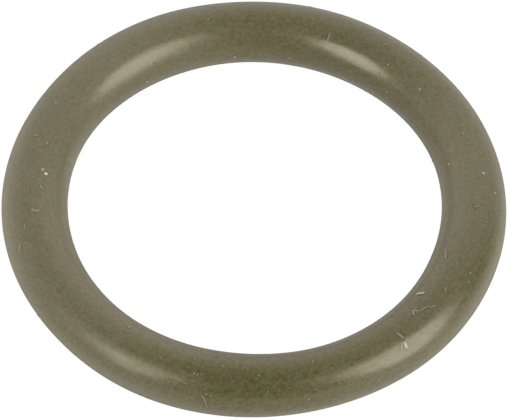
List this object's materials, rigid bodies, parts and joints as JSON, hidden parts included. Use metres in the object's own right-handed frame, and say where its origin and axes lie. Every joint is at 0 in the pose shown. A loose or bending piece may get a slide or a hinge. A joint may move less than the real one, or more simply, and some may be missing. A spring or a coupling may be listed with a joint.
{
  "type": "o-ring oil seal",
  "caption": "Moulded rubber ring of round section that keeps oil in when it is squeezed in a groove between a shaft or plug and its housing.",
  "frame": {"origin": "centre of the ring, halfway through its thickness", "axes": "+Z along the axis of the ring, X and Y in its plane, so that it lies flat"},
  "size_m": [0.024, 0.024, 0.003],
  "materials": {
    "olive_rubber": "satin, as moulded, lightly dusty"
  },
  "bodies": {
    "root": {"o_ring": "olive_rubber"}
  },
  "joints": []
}
